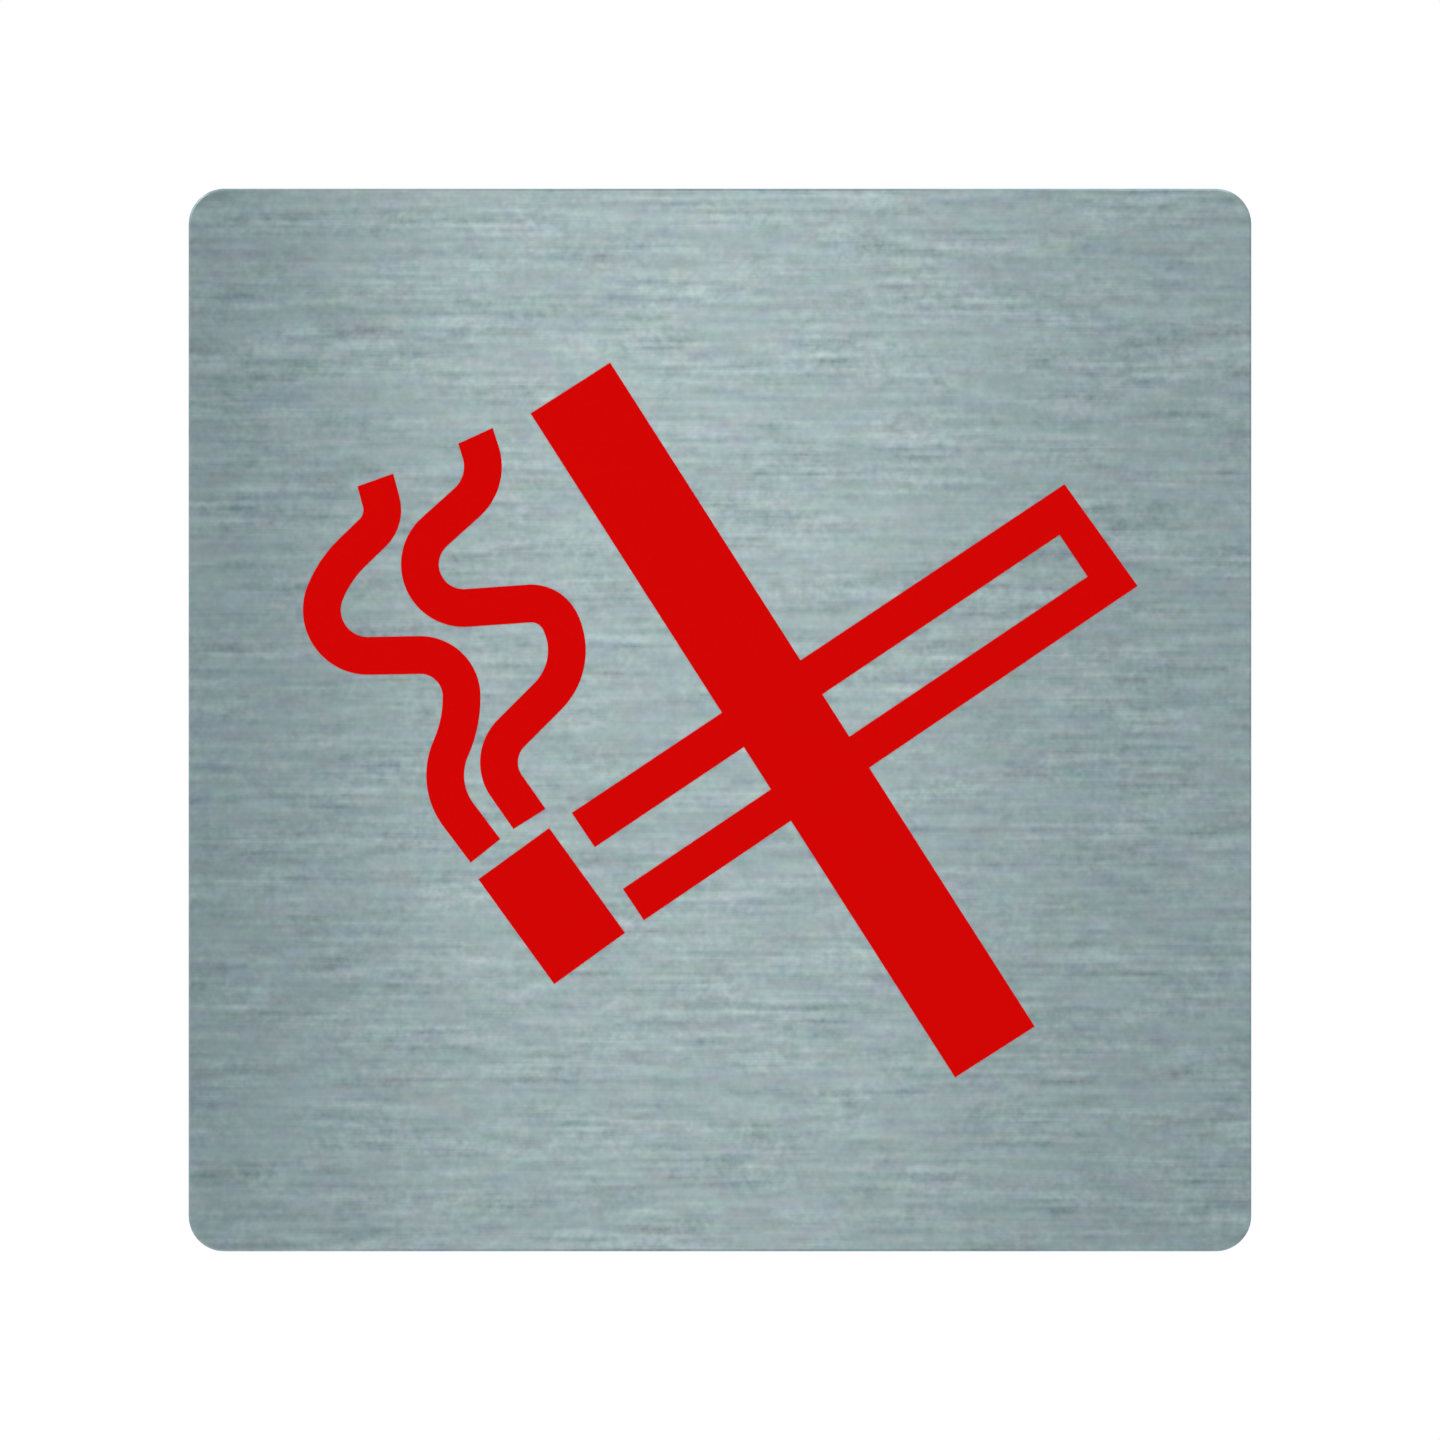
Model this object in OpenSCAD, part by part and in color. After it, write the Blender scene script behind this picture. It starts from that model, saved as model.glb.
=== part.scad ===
// No smoking sign for a wall or a door: a square plate of brushed stainless steel with
// rounded corners, a pictogram cut from red film and stuck to its front, and three strips of
// double-sided foam tape on its back. It has no screw holes.
// X runs to the reader's right, Z runs up and the front faces -Y. The origin is in the middle
// of the sign, on the wall that the tape sticks to.

/* [Plate] */
// Width and height of the square plate
plate_size = 90; // [78:1:150]
// Thickness of the steel sheet
plate_thickness = 1.5; // [0.8:0.1:3]
// Radius of the four corners, seen from the front
corner_radius = 3; // [1:0.5:12]
// Width of the small bevel that takes the burr off every edge of the sheet
edge_break = 0.2; // [0.05:0.05:0.35]

/* [Bar] */
// Length of the bar that strikes the cigarette out
bar_length = 66.7; // [50:0.1:76]
// Width of the bar
bar_width = 8; // [5:0.1:12]
// Angle by which the bar falls to the right
bar_fall = 57.4; // [48:0.1:68]
// Distance of the bar's middle to the right of the sign's middle
bar_offset = 5.3; // [0:0.1:10]

/* [Cigarette] */
// Length of the cigarette along its middle, from the burnt end to the mouth end
cigarette_length = 50.3; // [44:0.1:56]
// Width of the cigarette over both its walls, at the burnt end
cigarette_width = 10.95; // [9:0.05:13]
// How much narrower the cigarette is at the mouth end
cigarette_taper = 0.35; // [0:0.05:1]
// Angle by which the cigarette rises to the right
cigarette_rise = 33.9; // [24:0.1:42]
// Distance of the burnt end from the sign's middle, along the cigarette
burnt_end_reach = 14.8; // [10:0.1:18]
// Distance of the cigarette's middle line below the sign's middle, square to the cigarette
cigarette_drop = 5; // [2:0.1:8]
// Thickness of the line along the cigarette's upper side, at the burnt end
upper_line = 3.5; // [2:0.1:4]
// Thickness of the line along the cigarette's lower side, at the burnt end
lower_line = 3.2; // [2:0.1:4]
// Thickness of the line across the mouth end
mouth_line = 2.9; // [2:0.1:4]
// Angle by which the mouth end leans out at its lower corner
mouth_lean = 1.8; // [0:0.1:6]

/* [Ember] */
// Length of the ember, along the cigarette
ember_length = 7.4; // [5:0.1:9]
// Gap between the burnt end and the ember's upper corner
ember_gap = 2.3; // [1.5:0.1:4]
// Angle by which the ember leans off the cigarette's line
ember_lean = 2; // [0:0.1:6]

/* [Smoke] */
// Width of both ribbons of smoke
smoke_width = 3.2; // [2:0.1:3.8]
// Gap between the ember and the feet of the ribbons
smoke_gap = 1.6; // [1:0.05:3]
// Distance from the ember's upper corner to the middle of the right ribbon's foot
smoke_inset = 0.9; // [0:0.1:3]
// Distance between the middles of the two feet
smoke_spacing = 4.6; // [4.4:0.1:6]
// Direction in which the left ribbon leaves its foot, turned left from the horizontal
left_smoke_heading = 127; // [120:1:135]
// Left ribbon, foot to tip: [0, length] runs straight, [radius, angle] bends, left if above 0
left_smoke = [[0, 3.8], [5.6, -61], [10.5, 25], [3.5, 90], [0, 4.3],
              [3.9, -113], [9.8, -24], [0, 2.4], [2.7, 61], [0, 1.9]]; // radii of 2.5 or more
// Angle by which the cut at the left ribbon's foot is turned left from square
left_foot_slant = 1.5; // [-10:0.5:10]
// Angle by which the cut at the left ribbon's tip is turned left from square
left_tip_slant = 4.5; // [-10:0.5:10]
// Direction in which the right ribbon leaves its foot, turned left from the horizontal
right_smoke_heading = 125; // [118:1:132]
// Right ribbon, foot to tip, written like the left one
right_smoke = [[0, 3.4], [3.5, -80], [0, 4.4], [5.5, 72], [2.7, 67],
               [0, 5.3], [3.7, -142], [0, 3.7], [4.1, 66], [0, 1.4]]; // radii of 2.5 or more
// Angle by which the cut at the right ribbon's foot is turned left from square
right_foot_slant = -3; // [-10:0.5:10]
// Angle by which the cut at the right ribbon's tip is turned left from square
right_tip_slant = 6.5; // [-10:0.5:10]

/* [Film] */
// Thickness of the red film
film_thickness = 0.1; // [0.05:0.01:0.3]

/* [Tape] */
// Width of each strip of foam tape
tape_width = 12; // [6:1:18]
// Thickness of the foam tape, which holds the plate off the wall
tape_thickness = 1; // [0.5:0.1:2]
// Distance of the tape from the plate's edges, at both ends and on the outer sides
tape_inset = 6; // [3:1:10]

/* [Hidden] */

// Largest angle between two points on a bend of the smoke
bend_step = 4;
// Faces round a full turn of the plate's corners
corner_faces = 96;
// How far a cutting shape runs past what it cuts
overshoot = 1;

plate_front = tape_thickness + plate_thickness;
straight_side = plate_size - 2 * corner_radius;
tape_length = plate_size - 2 * tape_inset;
outer_tape_x = plate_size / 2 - tape_inset - tape_width / 2;

steel = "#9aabad";
red = "#d30200";
foam = "#e4e3dd";

// Stands a flat shape up to face the reader, its back at the given distance from the wall
module facing_out(distance) {
    translate([0, -distance, 0])
        rotate([90, 0, 0])
            children();
}

// Section of the plate from its inside to its edge, x outwards and y through the sheet
module edge_section() {
    polygon([
        [0, 0],
        [corner_radius - edge_break, 0],
        [corner_radius, edge_break],
        [corner_radius, plate_thickness - edge_break],
        [corner_radius - edge_break, plate_thickness],
        [0, plate_thickness]
    ]);
}

module plate_corner() {
    translate([straight_side / 2, straight_side / 2, 0])
        rotate_extrude(angle = 90, $fn = corner_faces)
            edge_section();
}

module plate_side() {
    translate([straight_side / 2, 0, 0])
        rotate([90, 0, 0])
            linear_extrude(height = straight_side, center = true)
                edge_section();
}

module plate() {
    color(steel)
        facing_out(tape_thickness) {
            translate([-straight_side / 2, -straight_side / 2, 0])
                cube([straight_side, straight_side, plate_thickness]);
            for (quarter = [0 : 3])
                rotate([0, 0, 90 * quarter]) {
                    plate_corner();
                    plate_side();
                }
        }
}

// Cuts a flat shape from the red film and sticks it to the front of the plate
module red_film() {
    color(red)
        facing_out(plate_front)
            linear_extrude(height = film_thickness)
                children();
}

module bar_shape() {
    translate([bar_offset, 0])
        rotate(-bar_fall)
            square([bar_length, bar_width], center = true);
}

// Puts a shape on the cigarette, x along it from the middle of its burnt end
module on_cigarette() {
    rotate(cigarette_rise)
        translate([-burnt_end_reach, -cigarette_drop])
            children();
}

// The cigarette is two lines closed by a third at the mouth end, and open at the burnt end
module cigarette_shape() {
    half_width = cigarette_width / 2;
    mouth_half_width = half_width - cigarette_taper / 2;
    lean = mouth_half_width * tan(mouth_lean);
    hollow_length = cigarette_length - mouth_line;
    hollow_width = cigarette_width - upper_line - lower_line;
    difference() {
        polygon([
            [0, -half_width],
            [cigarette_length + lean, -mouth_half_width],
            [cigarette_length - lean, mouth_half_width],
            [0, half_width]
        ]);
        translate([-overshoot, lower_line - half_width])
            square([hollow_length + overshoot, hollow_width]);
    }
}

module cigarette_and_bar() {
    red_film() {
        bar_shape();
        on_cigarette()
            cigarette_shape();
    }
}

// Puts a shape on the ember, from its upper corner beside the burnt end
module on_ember_corner() {
    on_cigarette()
        translate([-ember_gap, cigarette_width / 2])
            rotate(ember_lean)
                children();
}

module ember() {
    red_film()
        on_ember_corner()
            translate([-ember_length, -cigarette_width])
                square([ember_length, cigarette_width]);
}

// Where a run or a bend leads from a station [x, y, heading]
function after_run(from, length) =
    [from.x + length * cos(from.z), from.y + length * sin(from.z), from.z];

function after_bend(from, radius, angle) =
    let (side = sign(angle) * radius, heading = from.z + angle)
    [from.x + side * (sin(heading) - sin(from.z)),
     from.y - side * (cos(heading) - cos(from.z)),
     heading];

function after_step(from, step, share) =
    step[0] == 0
        ? after_run(from, step[1] * share)
        : after_bend(from, step[0], step[1] * share);

// Stations along the middle of a ribbon, one for each small turn of its bends
function stations(from, steps, index = 0) =
    index == len(steps)
        ? [from]
        : let (step = steps[index], parts = step[0] == 0 ? 1 : ceil(abs(step[1]) / bend_step))
          concat([for (part = [0 : parts - 1]) after_step(from, step, part / parts)],
                 stations(after_step(from, step, 1), steps, index + 1));

// The point beside a station, to its left where the distance is above 0, on a cut that is
// turned left from square by the slant
function beside(place, distance, slant) =
    let (slid = after_run(place, -distance * tan(slant)))
    [slid.x - distance * sin(slid.z), slid.y + distance * cos(slid.z)];

// One side of a ribbon, from its foot to its tip
function ribbon_side(places, distance, foot_slant, tip_slant) =
    let (tip = len(places) - 1)
    [for (index = [0 : tip])
        beside(places[index], distance, index == 0 ? foot_slant : index == tip ? tip_slant : 0)];

function reversed(list) = [for (index = [len(list) - 1 : -1 : 0]) list[index]];

// A ribbon of smoke of even width, with its ends cut at their slants
module ribbon(heading, steps, foot_slant, tip_slant) {
    places = stations([0, 0, heading], steps);
    left_side = ribbon_side(places, smoke_width / 2, foot_slant, tip_slant);
    right_side = ribbon_side(places, -smoke_width / 2, foot_slant, tip_slant);
    polygon(concat(left_side, reversed(right_side)));
}

// Puts a ribbon on its foot above the ember, at the given distance from the ember's corner
module above_ember(foot) {
    on_ember_corner()
        translate([-foot, smoke_gap])
            rotate(-cigarette_rise - ember_lean)
                children();
}

module smoke_left() {
    red_film()
        above_ember(smoke_inset + smoke_spacing)
            ribbon(left_smoke_heading, left_smoke, left_foot_slant, left_tip_slant);
}

module smoke_right() {
    red_film()
        above_ember(smoke_inset)
            ribbon(right_smoke_heading, right_smoke, right_foot_slant, right_tip_slant);
}

// An upright strip of foam tape between the wall and the plate
module tape_strip(middle) {
    color(foam)
        translate([middle - tape_width / 2, -tape_thickness, -tape_length / 2])
            cube([tape_width, tape_thickness, tape_length]);
}

module tape_left() {
    tape_strip(-outer_tape_x);
}

module tape_centre() {
    tape_strip(0);
}

module tape_right() {
    tape_strip(outer_tape_x);
}

plate();
cigarette_and_bar();
ember();
smoke_left();
smoke_right();
tape_left();
tape_centre();
tape_right();
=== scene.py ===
"""Finishes and studio for a stick-on no smoking sign of brushed steel, red film and foam tape."""

import bpy
import numpy as np
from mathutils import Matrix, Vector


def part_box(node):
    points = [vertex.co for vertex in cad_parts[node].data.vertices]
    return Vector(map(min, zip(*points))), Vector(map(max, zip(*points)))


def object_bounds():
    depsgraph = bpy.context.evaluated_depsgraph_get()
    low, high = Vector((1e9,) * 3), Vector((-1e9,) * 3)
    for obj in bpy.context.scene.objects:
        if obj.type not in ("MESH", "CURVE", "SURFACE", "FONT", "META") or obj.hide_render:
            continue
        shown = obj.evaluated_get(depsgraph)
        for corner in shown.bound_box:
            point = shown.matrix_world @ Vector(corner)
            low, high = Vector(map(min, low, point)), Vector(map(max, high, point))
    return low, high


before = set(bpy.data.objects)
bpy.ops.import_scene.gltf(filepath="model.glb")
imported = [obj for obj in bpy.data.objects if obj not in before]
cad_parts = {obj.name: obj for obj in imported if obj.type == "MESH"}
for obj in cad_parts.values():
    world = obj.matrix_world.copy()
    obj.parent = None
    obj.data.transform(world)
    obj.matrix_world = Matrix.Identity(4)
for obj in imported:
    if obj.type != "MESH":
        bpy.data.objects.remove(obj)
CAD_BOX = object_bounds()

bl_info = {
    "name": "No smoking sign",
    "version": (1, 0, 0),
    "blender": (4, 5, 0),
    "location": "3D View > Sidebar > Sign",
    "description": "Finishes a brushed steel no smoking sign and lights it in a plain studio",
    "category": "Object",
}

MILLIMETRE = 0.001
WHITE = (1.0, 1.0, 1.0, 1.0)
FILM_NODES = ("cigarette_and_bar", "ember", "smoke_left", "smoke_right")
TAPE_NODES = ("tape_left", "tape_centre", "tape_right")

# The curve between sRGB values and linear ones
SRGB_TOE = 0.04045
SRGB_TOE_SLOPE = 12.92
SRGB_OFFSET = 0.055
SRGB_GAMMA = 2.4

# Places of a Mix node's sockets, for numbers and for colours
A_VALUE, B_VALUE, VALUE_RESULT = 2, 3, 0
A_COLOUR, B_COLOUR, COLOUR_RESULT = 6, 7, 2

# Turn of the noise about X, in radians, and the step in cells from one pattern to the next
NOISE_TURN = 0.6
NOISE_STEP = 7.37
# Middle of the noise's values, and the values between which most of them lie
NOISE_MIDDLE = 0.5
NOISE_SPAN = (0.35, 0.65)

# Most that the brush marks lighten or darken the face
MARK_SWING = 0.3
# Share of a full turn that takes the highlight from along the brush lines to across them
HIGHLIGHT_TURN = 0.25
# Depths behind the front, in millimetres, over which the bevels' painted highlight and then the cut edge
# set in
BEVEL_START = (0.01, 0.03)
CUT_START = (0.18, 0.22)

# Distances from a foam cell's middle, in cells, over which its hollow rises to its wall and its painted
# shade gives way to the foam's colour
CELL_WALL = (0.15, 0.75)
# Depths in from the tape's outer face, in millimetres, over which cut foam gives way to adhesive
ADHESIVE_START = (0.04, 0.02)

# The floor's half width, and the distances from the sign's middle over which it turns pure
# white, in metres
FLOOR_REACH = 6.0
FLOOR_FADE = (0.11, 0.165)
# Points along each side of the floor, and the light of its own that a camera sees on it
FLOOR_POINTS = 9
FLOOR_GLOW = 0.06


def linear_colour(hex_code):
    """Turns an sRGB hex value into linear red, green and blue."""
    encoded = np.array([int(hex_code[place:place + 2], 16) for place in (1, 3, 5)]) / 255
    toe = encoded / SRGB_TOE_SLOPE
    curve = ((encoded + SRGB_OFFSET) / (1 + SRGB_OFFSET)) ** SRGB_GAMMA
    return tuple(float(channel) for channel in np.where(encoded <= SRGB_TOE, toe, curve))


def colour_property(name, description, hex_code):
    """A colour that a user can change, given as an sRGB hex value."""
    return bpy.props.FloatVectorProperty(
        name=name, description=description, default=linear_colour(hex_code),
        size=3, min=0, max=1, subtype="COLOR",
    )


def length_property(name, description, millimetres):
    """A length that a user can change, given in millimetres and kept in metres."""
    return bpy.props.FloatProperty(
        name=name, description=description, default=millimetres * MILLIMETRE,
        min=0.001 * MILLIMETRE, unit="LENGTH", precision=6,
    )


def pattern_property(name, description, millimetres):
    """The size of a pattern's cells along X, Y and Z, given in millimetres and kept in metres."""
    return bpy.props.FloatVectorProperty(
        name=name, description=description,
        default=[length * MILLIMETRE for length in millimetres],
        size=3, min=0.01 * MILLIMETRE, subtype="XYZ", unit="LENGTH", precision=5,
    )


def share_property(name, description, share):
    """A share between 0 and 1 that a user can change."""
    return bpy.props.FloatProperty(
        name=name, description=description, default=share, min=0, max=1, subtype="FACTOR",
    )


def power_property(name, description, watts):
    """The power of a lamp that a user can change, in watts."""
    return bpy.props.FloatProperty(
        name=name, description=description, default=watts, min=0, unit="POWER",
    )


class SteelSettings(bpy.types.PropertyGroup):
    """Colours and grain of the brushed stainless steel."""

    brushed_grey: colour_property("Brushed grey", "Steel on the brushed face", "#819397")
    mark_grey: colour_property("Mark grey", "Colour that the brush marks add or take away", "#869091")
    mill_grey: colour_property("Mill grey", "Unbrushed steel on the back", "#9DA5A8")
    cut_grey: colour_property("Cut grey", "Bare steel on the cut edges", "#868F92")
    line_length: length_property("Line length", "Length of the longest brush lines", 11)
    stroke_length: length_property("Stroke length", "Length of the broad brush strokes", 7)
    nick_length: length_property("Nick length", "Length of the short brush strokes", 3)
    fleck_length: length_property("Fleck length", "Length of the soft flecks between strokes", 1)
    grit_size: length_property("Grit size", "Size of the dots that the grit leaves", 0.25)
    line_width: length_property("Line width", "Width of the narrow brush lines", 0.46)
    stroke_width: length_property("Stroke width", "Width of the broad brush strokes", 0.8)
    hairline_length: length_property("Hairline length", "Length of the finest brush lines", 4)
    hairline_width: length_property("Hairline width", "Width of the finest brush lines", 0.12)
    contrast: share_property("Contrast", "How strongly the brush marks show", 0.272)
    patch: pattern_property("Patch", "Size of the patches that the brush presses harder", (8, 2.5, 2.5))
    patchiness: share_property("Patchiness", "How far the marks' strength changes by patch", 0.4)
    tint: pattern_property("Tint", "Size of the spots that differ in hue", (3, 1.2, 1.2))
    tinting: share_property("Tinting", "How far the grey strays in hue", 0.24)
    # Painted highlight: how much lighter the bevels' colour is made, at the top and bottom and at the
    # sides
    bevel_painted_highlight: share_property("Bevel shine", "How much lighter the top and bottom bevels are", 0.36)
    side_painted_highlight: share_property("Side shine", "How much lighter the bevels at the sides are", 0.04)
    corner: length_property("Corner", "Reach of the plate's rounded corners", 3)
    mottle: pattern_property("Mottle", "Size of the mill finish's grain", (5, 1, 0.5))
    mottling: share_property("Mottling", "How strongly the mill finish's grain shows", 0.15)
    cut_line: pattern_property("Cut line", "Size of the fine lines across the cut edge", (0.2, 2, 0.2))
    cut_contrast: share_property("Cut contrast", "How strongly the lines of the cut edge show", 0.4)
    scratch: pattern_property("Scratch", "Size of the scratches in the relief of the face", (5, 0.2, 0.2))
    relief: share_property("Relief", "Strength of the scratches and cut lines", 0.5)
    relief_height: length_property("Relief height", "Height of the scratches and cut lines", 0.003)
    roughness: share_property("Roughness", "Roughness of the brushed face", 0.32)
    gloss_swing: share_property("Gloss swing", "How much glossier the palest brush marks are", 0.006)
    cut_roughness: share_property("Cut roughness", "Roughness of the cut edges and the back", 0.4)
    anisotropy: share_property("Anisotropy", "How far the highlight spreads across the lines", 0.976)


class FilmSettings(bpy.types.PropertyGroup):
    """Colour and surface of the cut film."""

    red: colour_property("Film", "Signal red of the cut film", "#D30200")
    grain_size: length_property("Grain size", "Size of the fine pebbling of matt film", 0.18)
    relief: share_property("Relief", "Strength of the pebbling", 0.15)
    relief_height: length_property("Relief height", "Height of the pebbling", 0.01)
    roughness: share_property("Roughness", "Roughness of the film", 0.55)
    shine: share_property("Shine", "Strength of the film's highlight", 0.02)


class TapeSettings(bpy.types.PropertyGroup):
    """Colour and surface of the foam tape."""

    foam: colour_property("Foam", "White closed-cell foam", "#E4E3DD")
    hollow: colour_property("Hollow", "Shade in the hollows of the cut cells", "#C9C8C0")
    cell_size: length_property("Cell size", "Size of the cells of the foam", 0.35)
    ripple: pattern_property("Ripple", "Size of the ripples in the adhesive", (2, 1, 6))
    ripple_shade: share_property("Ripple shade", "How much darker the hollows of the ripples are", 0.1)
    relief: share_property("Relief", "Strength of the cells and ripples", 0.6)
    relief_height: length_property("Relief height", "Height of the cells and ripples", 0.08)
    foam_roughness: share_property("Foam roughness", "Roughness of the cut sides", 0.9)
    glue_roughness: share_property("Glue roughness", "Roughness of the adhesive face", 0.32)


class StudioSettings(bpy.types.PropertyGroup):
    """Camera, floor and lights."""

    view_width: length_property("View width", "Width that the camera takes in at the sign", 121.86)
    floor_drop: length_property("Floor drop", "Height of the sign above the floor", 45)
    floor: colour_property("Floor", "Pale studio floor", "#F2F2F2")
    floor_roughness: share_property("Floor roughness", "Roughness of the floor", 0.9)
    focal_length: bpy.props.FloatProperty(
        name="Focal length", description="Long lens, so that the sign shows square",
        default=100, min=20, unit="CAMERA",
    )
    key_power: power_property("Key light", "Soft strip behind the camera", 0.424)
    key_colour: colour_property("Key colour", "Warm white of the key and fill lights", "#FFF0E6")
    fill_power: power_property("Fill light", "Wide soft box on the right", 0.36)
    side_power: power_property("Side light", "Soft box high on the right", 4.6)
    side_colour: colour_property("Side colour", "Cool white of the side light", "#EFF9FF")
    left_power: power_property("Left light", "Tall soft strip on the left", 1.2)
    back_power: power_property("Back light", "Soft box behind the wall side", 7.0)
    room_light: bpy.props.FloatProperty(
        name="Room light", description="Strength of the even light from all round",
        default=0.35, min=0,
    )


class SignSettings(bpy.types.PropertyGroup):
    """All settings of the sign and its studio."""

    steel: bpy.props.PointerProperty(type=SteelSettings)
    film: bpy.props.PointerProperty(type=FilmSettings)
    tape: bpy.props.PointerProperty(type=TapeSettings)
    studio: bpy.props.PointerProperty(type=StudioSettings)


def add_node(tree, kind, inputs=None, **settings):
    """Adds a node with its settings, and fills its inputs with values or other nodes' outputs.

    An input is given by its name, or by its place where several inputs share a name.
    """
    node = tree.nodes.new(kind)
    for setting, value in settings.items():
        setattr(node, setting, value)
    for socket, value in (inputs or {}).items():
        if isinstance(value, bpy.types.NodeSocket):
            tree.links.new(value, node.inputs[socket])
        else:
            node.inputs[socket].default_value = value
    return node


def new_material(name):
    """An empty material, its node tree and its object coordinates in metres."""
    material = bpy.data.materials.new(name)
    material.use_nodes = True
    tree = material.node_tree
    tree.nodes.clear()
    place = add_node(tree, "ShaderNodeTexCoord").outputs["Object"]
    return material, tree, place


def opaque(colour, share=1.0):
    """A share of a colour, with full alpha."""
    return (*(share * channel for channel in colour), 1.0)


def grain(tree, place, size, shift=0.0, detail=0.0, output="Fac"):
    """Smooth noise whose cells have the given size along X, Y and Z, in metres.

    The shift moves the pattern by that many cells, so that two patterns don't line up. The
    detail adds that many finer layers. A turn about X keeps the cells from lying in rows up
    the face, and leaves every line level.
    """
    cells = add_node(tree, "ShaderNodeMapping", {
        "Vector": place,
        "Location": (shift, shift, shift),
        "Rotation": (NOISE_TURN, 0.0, 0.0),
        "Scale": tuple(1 / length for length in size),
    })
    noise = add_node(tree, "ShaderNodeTexNoise", {
        "Vector": cells.outputs["Vector"],
        "Scale": 1.0,
        "Detail": detail,
    })
    return noise.outputs[output]


def brush_marks(tree, place, settings):
    """How much lighter or darker than its mean each spot of the brushed face is.

    It adds up strokes of seven sizes, each as strong as it shows on such a sheet, and then
    strengthens or weakens their sum in patches, because no brush presses evenly. The finest
    are hairlines, drawn about twice as wide as real ones so that they show.
    """
    narrow = settings.line_width
    broad = settings.stroke_width
    grit = settings.grit_size
    # Length, width and strength of each kind of mark
    marks = (
        (settings.line_length, narrow, 1.0),
        (settings.stroke_length, broad, 1.04),
        (settings.nick_length, broad, 0.72),
        (settings.fleck_length, broad, 0.9),
        (narrow, narrow, 0.78),
        (grit, grit, 0.4),
        (settings.hairline_length, settings.hairline_width, 0.45),
    )
    swing = 0.0
    for number, (length, width, strength) in enumerate(marks):
        mark = grain(tree, place, (length, width, width), shift=NOISE_STEP * (number + 1))
        centred = add_node(tree, "ShaderNodeMath", {0: mark, 1: NOISE_MIDDLE}, operation="SUBTRACT")
        swing = add_node(tree, "ShaderNodeMath", {
            0: centred.outputs["Value"],
            1: strength * settings.contrast,
            2: swing,
        }, operation="MULTIPLY_ADD").outputs["Value"]
    pressure = add_node(tree, "ShaderNodeMapRange", {
        "Value": grain(tree, place, settings.patch, shift=2.3, detail=2.0),
        "From Min": NOISE_SPAN[0],
        "From Max": NOISE_SPAN[1],
        "To Min": 1.0 - settings.patchiness,
        "To Max": 1.0 + settings.patchiness,
    }).outputs["Result"]
    pressed = add_node(tree, "ShaderNodeMath", {0: swing, 1: pressure}, operation="MULTIPLY")
    return pressed.outputs["Value"]


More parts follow.
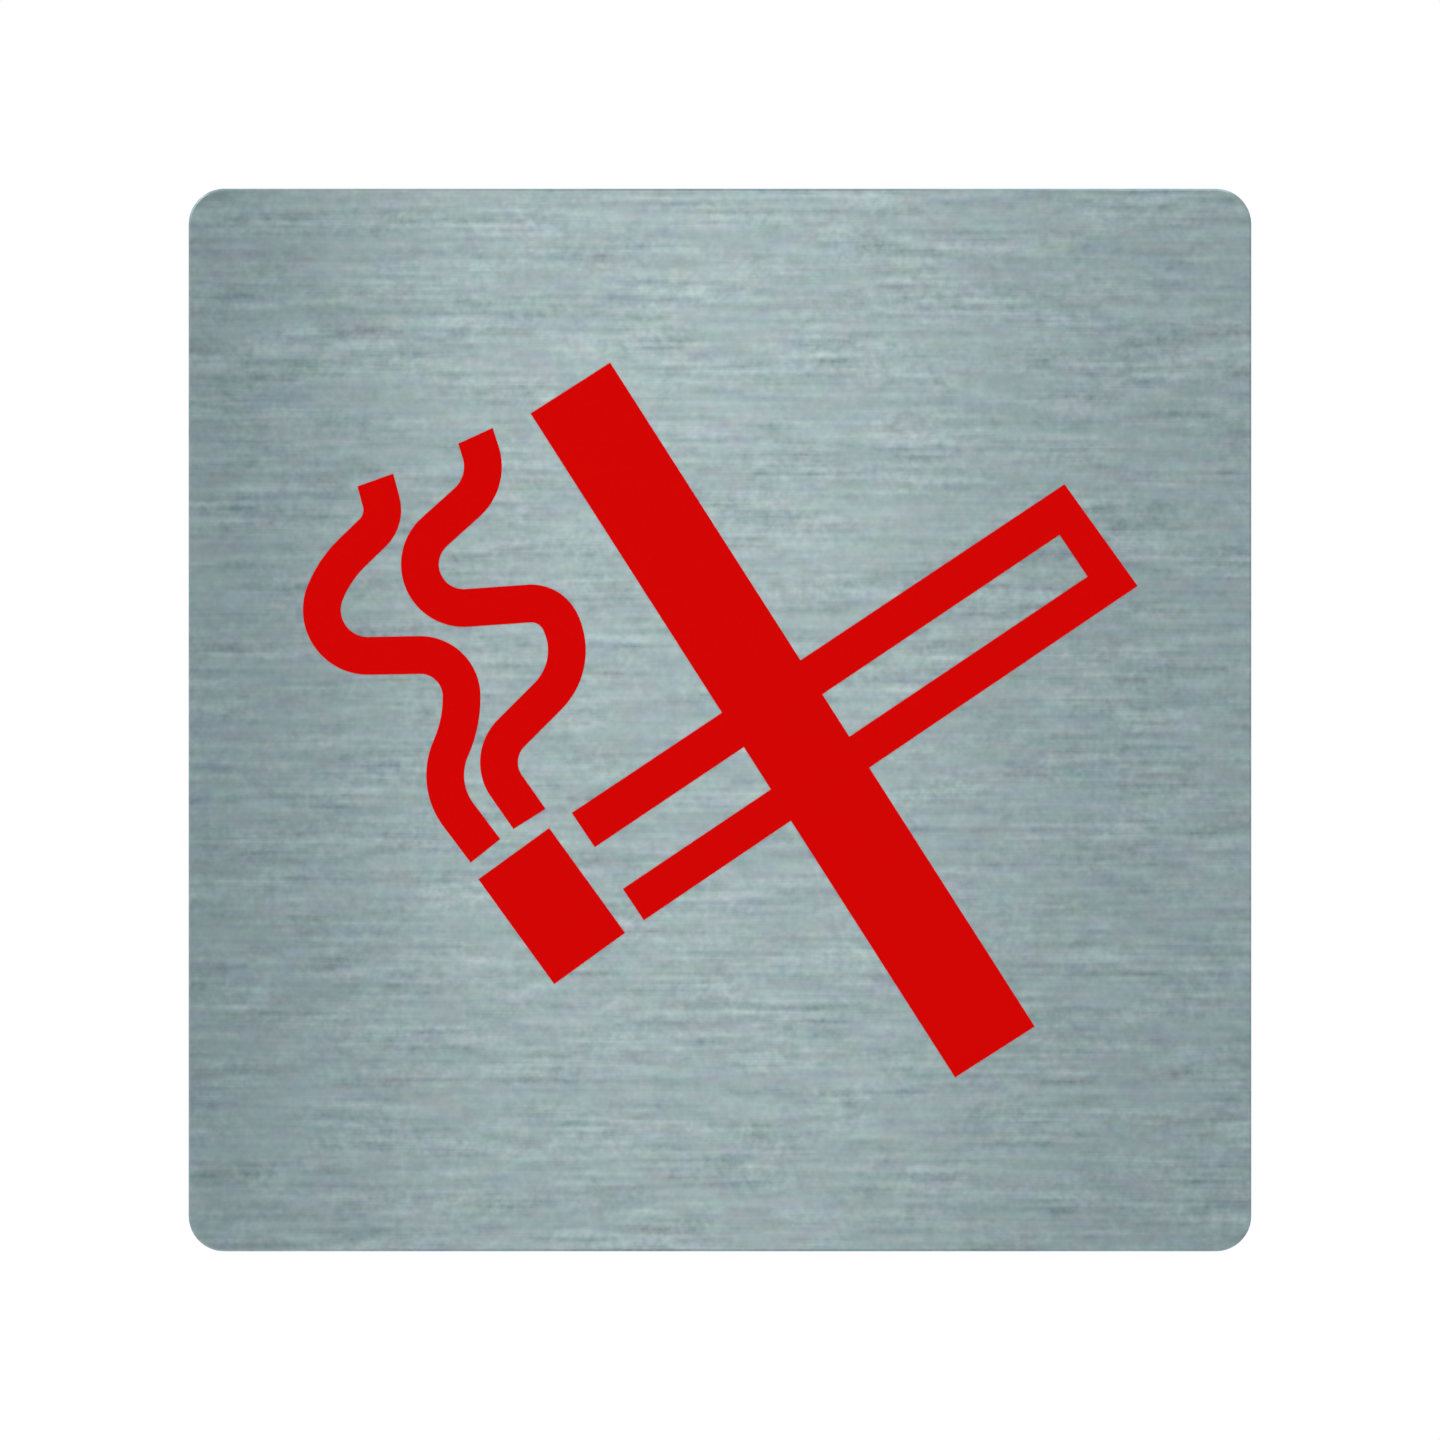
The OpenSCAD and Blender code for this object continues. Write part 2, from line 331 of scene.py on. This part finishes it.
def brushed_stainless(settings):
    """Stainless steel sheet, brushed from side to side on its face.

    The brush leaves long soft lines crossed by short strokes, which give the eye pale and
    dark streaks, and the highlight spreads up and down across them. The bevels get a painted
    highlight: their colour is made lighter, more at the top and bottom than at the sides. The back
    keeps the dull even finish of the mill, whose grain is drawn coarser than the real one so that
    it shows, and the cut edges show fine lines across their thickness.
    """
    material, tree, place = new_material("brushed_stainless_steel")
    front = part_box("plate")[0].y
    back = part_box("plate")[1].y
    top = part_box("plate")[1].z
    parts = add_node(tree, "ShaderNodeSeparateXYZ", {"Vector": place}).outputs
    depth = parts["Y"]

    marks = brush_marks(tree, place, settings)
    # Each channel strays on its own by the tinting, half of it up and half of it down
    strayed = add_node(tree, "ShaderNodeVectorMath", {
        0: grain(tree, place, settings.tint, detail=4.0, output="Color"),
        1: [settings.tinting * channel for channel in settings.brushed_grey],
        2: [(1.0 - settings.tinting / 2) * channel for channel in settings.brushed_grey],
    }, operation="MULTIPLY_ADD")
    brushed = add_node(tree, "ShaderNodeVectorMath", {
        0: marks,
        1: settings.mark_grey,
        2: strayed.outputs["Vector"],
    }, operation="MULTIPLY_ADD")
    # Painted highlight on the bevels: their colour is scaled up, from the side share at the sides to the
    # top share at the top and bottom, and fades in over the bevel's depth
    from_middle = add_node(tree, "ShaderNodeMath", {0: parts["Z"]}, operation="ABSOLUTE")
    painted_bevel_highlight = add_node(tree, "ShaderNodeMapRange", {
        "Value": from_middle.outputs["Value"],
        "From Min": top - settings.corner,
        "From Max": top,
        "To Min": 1.0 + settings.side_painted_highlight,
        "To Max": 1.0 + settings.bevel_painted_highlight,
    })
    shine = add_node(tree, "ShaderNodeMapRange", {
        "Value": depth,
        "From Min": front + BEVEL_START[0] * MILLIMETRE,
        "From Max": front + BEVEL_START[1] * MILLIMETRE,
        "To Min": 1.0,
        "To Max": painted_bevel_highlight.outputs["Result"],
    })
    face = add_node(tree, "ShaderNodeVectorMath", {
        0: brushed.outputs["Vector"],
        "Scale": shine.outputs["Result"],
    }, operation="SCALE").outputs["Vector"]

    mottle = grain(tree, place, settings.mottle, detail=2.0)
    mill = add_node(tree, "ShaderNodeMix", {
        "Factor": mottle,
        A_COLOUR: opaque(settings.mill_grey, 1.0 - settings.mottling),
        B_COLOUR: opaque(settings.mill_grey, 1.0 + settings.mottling),
    }, data_type="RGBA").outputs[COLOUR_RESULT]
    cuts = grain(tree, place, settings.cut_line, detail=1.0)
    cut = add_node(tree, "ShaderNodeMix", {
        "Factor": cuts,
        A_COLOUR: opaque(settings.cut_grey, 1.0 - settings.cut_contrast),
        B_COLOUR: opaque(settings.cut_grey, 1.0 + settings.cut_contrast),
    }, data_type="RGBA").outputs[COLOUR_RESULT]

    behind_face = add_node(tree, "ShaderNodeMapRange", {
        "Value": depth,
        "From Min": front + CUT_START[0] * MILLIMETRE,
        "From Max": front + CUT_START[1] * MILLIMETRE,
    }).outputs["Result"]
    on_back = add_node(tree, "ShaderNodeMapRange", {
        "Value": depth,
        "From Min": back - CUT_START[1] * MILLIMETRE,
        "From Max": back - CUT_START[0] * MILLIMETRE,
    }).outputs["Result"]
    colour = add_node(tree, "ShaderNodeMix", {
        "Factor": behind_face, A_COLOUR: face, B_COLOUR: cut,
    }, data_type="RGBA").outputs[COLOUR_RESULT]
    colour = add_node(tree, "ShaderNodeMix", {
        "Factor": on_back, A_COLOUR: colour, B_COLOUR: mill,
    }, data_type="RGBA").outputs[COLOUR_RESULT]

    scratches = grain(tree, place, settings.scratch, shift=1.7)
    height = add_node(tree, "ShaderNodeMix", {
        "Factor": behind_face, A_VALUE: scratches, B_VALUE: cuts,
    }).outputs[VALUE_RESULT]
    height = add_node(tree, "ShaderNodeMix", {
        "Factor": on_back, A_VALUE: height, B_VALUE: mottle,
    }).outputs[VALUE_RESULT]
    relief = add_node(tree, "ShaderNodeBump", {
        "Strength": settings.relief,
        "Distance": settings.relief_height,
        "Height": height,
    })
    gloss = add_node(tree, "ShaderNodeMapRange", {
        "Value": marks,
        "From Min": -MARK_SWING,
        "From Max": MARK_SWING,
        "To Min": settings.roughness + settings.gloss_swing,
        "To Max": settings.roughness - settings.gloss_swing,
    }).outputs["Result"]
    roughness = add_node(tree, "ShaderNodeMix", {
        "Factor": behind_face, A_VALUE: gloss, B_VALUE: settings.cut_roughness,
    }).outputs[VALUE_RESULT]
    tangent = add_node(tree, "ShaderNodeTangent", direction_type="RADIAL", axis="Z")
    shader = add_node(tree, "ShaderNodeBsdfPrincipled", {
        "Base Color": colour,
        "Metallic": 1.0,
        "Roughness": roughness,
        "Anisotropic": settings.anisotropy,
        "Anisotropic Rotation": HIGHLIGHT_TURN,
        "Tangent": tangent.outputs["Tangent"],
        "Normal": relief.outputs["Normal"],
    })
    add_node(tree, "ShaderNodeOutputMaterial", {"Surface": shader.outputs["BSDF"]})
    return material


def matt_red_film(settings):
    """Cut self-adhesive film, calendered matt: even signal red with next to no shine.

    Its fine pebbling is drawn about twice as coarse as the real one so that it shows.
    """
    material, tree, place = new_material("matt_red_film")
    size = settings.grain_size
    relief = add_node(tree, "ShaderNodeBump", {
        "Strength": settings.relief,
        "Distance": settings.relief_height,
        "Height": grain(tree, place, (size, size, size), detail=1.0),
    })
    shader = add_node(tree, "ShaderNodeBsdfPrincipled", {
        "Base Color": opaque(settings.red),
        "Roughness": settings.roughness,
        "Specular IOR Level": settings.shine,
        "Normal": relief.outputs["Normal"],
    })
    add_node(tree, "ShaderNodeOutputMaterial", {"Surface": shader.outputs["BSDF"]})
    return material


def foam_tape(settings):
    """White closed-cell foam with adhesive on both faces.

    Its cut sides are chalky, with the hollows of cut cells, drawn half as coarse again as the
    real ones so that they show, and painted shade in each hollow. Its outer face has the low
    gloss of the adhesive, with painted shade in the hollows of its ripples.
    """
    material, tree, place = new_material("white_foam_tape")
    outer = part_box("tape_centre")[1].y
    cells = add_node(tree, "ShaderNodeTexVoronoi", {
        "Vector": place,
        "Scale": 1 / settings.cell_size,
    })
    # Painted shade: the foam is darkest in the middle of each cut cell, and the same measure raises the
    # cells' relief towards their walls
    cell_rise_and_shade = add_node(tree, "ShaderNodeMapRange", {
        "Value": cells.outputs["Distance"],
        "From Min": CELL_WALL[0],
        "From Max": CELL_WALL[1],
    }).outputs["Result"]
    foam = add_node(tree, "ShaderNodeMix", {
        "Factor": cell_rise_and_shade,
        A_COLOUR: opaque(settings.hollow),
        B_COLOUR: opaque(settings.foam),
    }, data_type="RGBA").outputs[COLOUR_RESULT]
    # Painted shade: the adhesive is darker in the hollows of its ripples
    ripple = grain(tree, place, settings.ripple, detail=2.0)
    glue = add_node(tree, "ShaderNodeMix", {
        "Factor": ripple,
        A_COLOUR: opaque(settings.foam, 1.0 - settings.ripple_shade),
        B_COLOUR: opaque(settings.foam),
    }, data_type="RGBA").outputs[COLOUR_RESULT]

    depth = add_node(tree, "ShaderNodeSeparateXYZ", {"Vector": place}).outputs["Y"]
    on_face = add_node(tree, "ShaderNodeMapRange", {
        "Value": depth,
        "From Min": outer - ADHESIVE_START[0] * MILLIMETRE,
        "From Max": outer - ADHESIVE_START[1] * MILLIMETRE,
    }).outputs["Result"]
    colour = add_node(tree, "ShaderNodeMix", {
        "Factor": on_face, A_COLOUR: foam, B_COLOUR: glue,
    }, data_type="RGBA").outputs[COLOUR_RESULT]
    roughness = add_node(tree, "ShaderNodeMix", {
        "Factor": on_face,
        A_VALUE: settings.foam_roughness,
        B_VALUE: settings.glue_roughness,
    }).outputs[VALUE_RESULT]
    height = add_node(tree, "ShaderNodeMix", {
        "Factor": on_face, A_VALUE: cell_rise_and_shade, B_VALUE: ripple,
    }).outputs[VALUE_RESULT]
    relief = add_node(tree, "ShaderNodeBump", {
        "Strength": settings.relief,
        "Distance": settings.relief_height,
        "Height": height,
    })
    shader = add_node(tree, "ShaderNodeBsdfPrincipled", {
        "Base Color": colour,
        "Roughness": roughness,
        "Normal": relief.outputs["Normal"],
    })
    add_node(tree, "ShaderNodeOutputMaterial", {"Surface": shader.outputs["BSDF"]})
    return material


def dress(names, material):
    """Gives CAD nodes a material in place of their plain one."""
    for name in names:
        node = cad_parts[name]
        node.data.materials.clear()
        node.data.materials.append(material)


class SIGN_OT_brush_plate(bpy.types.Operator):
    """Brush the front of the steel plate"""

    bl_idname = "sign.brush_plate"
    bl_label = "Brush the plate"

    def execute(self, context):
        settings = context.scene.sign_settings.steel
        dress(["plate"], brushed_stainless(settings))
        return {"FINISHED"}


class SIGN_OT_colour_film(bpy.types.Operator):
    """Colour the film pieces of the pictogram"""

    bl_idname = "sign.colour_film"
    bl_label = "Colour the pictogram"

    def execute(self, context):
        settings = context.scene.sign_settings.film
        dress(FILM_NODES, matt_red_film(settings))
        return {"FINISHED"}


class SIGN_OT_lay_tape(bpy.types.Operator):
    """Finish the strips of foam tape on the back"""

    bl_idname = "sign.lay_tape"
    bl_label = "Finish the tape"

    def execute(self, context):
        settings = context.scene.sign_settings.tape
        dress(TAPE_NODES, foam_tape(settings))
        return {"FINISHED"}


def floor_grid(reach, height, steps):
    """A flat square: x and y each run evenly from -reach to reach, and z is the height."""
    along = np.linspace(-reach, reach, steps)
    x, y = np.meshgrid(along, along)
    points = np.stack([x, y, np.full_like(x, height)], axis=-1).reshape(-1, 3)
    first = (np.arange(steps - 1)[:, None] * steps + np.arange(steps - 1)).ravel()
    faces = np.stack([first, first + 1, first + steps + 1, first + steps], axis=-1)
    return points, faces


def seen_directly(tree):
    """One for rays from the camera, a gloss or a glass, and zero for light that falls."""
    rays = add_node(tree, "ShaderNodeLightPath").outputs
    seen = rays["Is Camera Ray"]
    for kind in ("Is Glossy Ray", "Is Transmission Ray"):
        either = add_node(tree, "ShaderNodeMath", {0: seen, 1: rays[kind]}, operation="MAXIMUM")
        seen = either.outputs["Value"]
    return seen


def pale_floor_paint(settings):
    """Matt studio paint that takes the sign's soft shadow and turns pure white further out."""
    material, tree, place = new_material("pale_floor_paint")
    seen = seen_directly(tree)
    flat = add_node(tree, "ShaderNodeVectorMath", {
        0: place,
        1: (1.0, 1.0, 0.0),
    }, operation="MULTIPLY")
    radius = add_node(tree, "ShaderNodeVectorMath", {
        0: flat.outputs["Vector"],
    }, operation="LENGTH")
    far = add_node(tree, "ShaderNodeMapRange", {
        "Value": radius.outputs["Value"],
        "From Min": FLOOR_FADE[0],
        "From Max": FLOOR_FADE[1],
    }, interpolation_type="SMOOTHSTEP")
    glow = add_node(tree, "ShaderNodeMath", {0: seen, 1: FLOOR_GLOW}, operation="MULTIPLY")
    paint = add_node(tree, "ShaderNodeBsdfPrincipled", {
        "Base Color": opaque(settings.floor),
        "Roughness": settings.floor_roughness,
        "Specular IOR Level": 0.0,
        "Emission Color": WHITE,
        "Emission Strength": glow.outputs["Value"],
    })
    white = add_node(tree, "ShaderNodeEmission", {"Color": WHITE, "Strength": 1.0})
    whitened = add_node(tree, "ShaderNodeMath", {
        0: far.outputs["Result"],
        1: seen,
    }, operation="MULTIPLY")
    surface = add_node(tree, "ShaderNodeMixShader", {
        0: whitened.outputs["Value"],
        1: paint.outputs["BSDF"],
        2: white.outputs["Emission"],
    })
    add_node(tree, "ShaderNodeOutputMaterial", {"Surface": surface.outputs["Shader"]})
    return material


def add_floor(settings):
    """The pale floor below the sign."""
    height = CAD_BOX[0].z - settings.floor_drop
    points, faces = floor_grid(FLOOR_REACH, height, FLOOR_POINTS)
    mesh = bpy.data.meshes.new("floor")
    mesh.from_pydata(points, [], faces)
    mesh.materials.append(pale_floor_paint(settings))
    floor = bpy.data.objects.new("floor", mesh)
    bpy.context.scene.collection.objects.link(floor)


def add_room(settings):
    """An even room: plain light for surfaces, white where the camera or a gloss sees it."""
    world = bpy.data.worlds.new("studio_room")
    bpy.context.scene.world = world
    world.use_nodes = True
    tree = world.node_tree
    tree.nodes.clear()
    light = add_node(tree, "ShaderNodeBackground", {
        "Color": WHITE,
        "Strength": settings.room_light,
    })
    white = add_node(tree, "ShaderNodeBackground", {"Color": WHITE, "Strength": 1.0})
    mixed = add_node(tree, "ShaderNodeMixShader", {
        0: seen_directly(tree),
        1: light.outputs["Background"],
        2: white.outputs["Background"],
    })
    add_node(tree, "ShaderNodeOutputWorld", {"Surface": mixed.outputs["Shader"]})


def add_light(name, place, size, power, colour=WHITE[:3]):
    """A soft box of the given width and height that faces the middle of the sign."""
    lamp = bpy.data.lights.new(name, "AREA")
    lamp.shape = "RECTANGLE"
    lamp.size, lamp.size_y = size
    lamp.energy = power
    lamp.color = colour
    light = bpy.data.objects.new(name, lamp)
    light.location = place
    light.rotation_mode = "QUATERNION"
    light.rotation_quaternion = light.location.to_track_quat("Z", "Y")
    light.visible_camera = False
    bpy.context.scene.collection.objects.link(light)


def add_lights(settings):
    """The key and fill give the face its pale middle, and the others light the other sides."""
    add_light(
        "key_light", place=(-0.014, -0.62, 0.054), size=(0.146, 0.5),
        power=settings.key_power, colour=settings.key_colour,
    )
    add_light(
        "fill_light", place=(0.27, -0.5, 0.134), size=(0.5, 0.4),
        power=settings.fill_power, colour=settings.key_colour,
    )
    add_light(
        "side_light", place=(0.75, -0.55, 0.75), size=(0.8, 0.8),
        power=settings.side_power, colour=settings.side_colour,
    )
    add_light(
        "left_light", place=(-0.44, -0.62, 0.16), size=(0.2, 0.48),
        power=settings.left_power,
    )
    add_light(
        "back_light", place=(-0.5, 0.6, 0.55), size=(0.8, 0.8),
        power=settings.back_power,
    )


def add_camera(settings):
    """A long lens straight in front of the sign, as far off as the view's width asks."""
    data = bpy.data.cameras.new("camera")
    data.lens = settings.focal_length
    distance = settings.view_width * data.lens / data.sensor_width
    camera = bpy.data.objects.new("camera", data)
    camera.location = (0.0, CAD_BOX[0].y - distance, 0.0)
    camera.rotation_euler = (np.pi / 2, 0.0, 0.0)
    bpy.context.scene.collection.objects.link(camera)
    bpy.context.scene.camera = camera


class SIGN_OT_set_stage(bpy.types.Operator):
    """Set up the floor, the lights and the camera"""

    bl_idname = "sign.set_stage"
    bl_label = "Set up the studio"

    def execute(self, context):
        scene = context.scene
        settings = scene.sign_settings.studio
        scene.view_settings.view_transform = "Standard"
        add_floor(settings)
        add_room(settings)
        add_lights(settings)
        add_camera(settings)
        return {"FINISHED"}


class SIGN_PT_panel(bpy.types.Panel):
    """The sign's finishes and studio"""

    bl_idname = "SIGN_PT_panel"
    bl_label = "No smoking sign"
    bl_space_type = "VIEW_3D"
    bl_region_type = "UI"
    bl_category = "Sign"

    def draw(self, context):
        settings = context.scene.sign_settings
        for operator, group in (
            (SIGN_OT_brush_plate, settings.steel),
            (SIGN_OT_colour_film, settings.film),
            (SIGN_OT_lay_tape, settings.tape),
            (SIGN_OT_set_stage, settings.studio),
        ):
            box = self.layout.box()
            for name in group.__annotations__:
                box.prop(group, name)
            box.operator(operator.bl_idname)


CLASSES = (
    SteelSettings,
    FilmSettings,
    TapeSettings,
    StudioSettings,
    SignSettings,
    SIGN_OT_brush_plate,
    SIGN_OT_colour_film,
    SIGN_OT_lay_tape,
    SIGN_OT_set_stage,
    SIGN_PT_panel,
)


def register():
    """Registers the classes and gives the scene its settings."""
    for kind in CLASSES:
        bpy.utils.register_class(kind)
    bpy.types.Scene.sign_settings = bpy.props.PointerProperty(type=SignSettings)


def unregister():
    """Takes the settings and the classes away again."""
    del bpy.types.Scene.sign_settings
    for kind in reversed(CLASSES):
        bpy.utils.unregister_class(kind)


def main():
    """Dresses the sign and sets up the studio."""
    register()
    bpy.ops.sign.brush_plate()
    bpy.ops.sign.colour_film()
    bpy.ops.sign.lay_tape()
    bpy.ops.sign.set_stage()


if __name__ == "__main__":
    main()
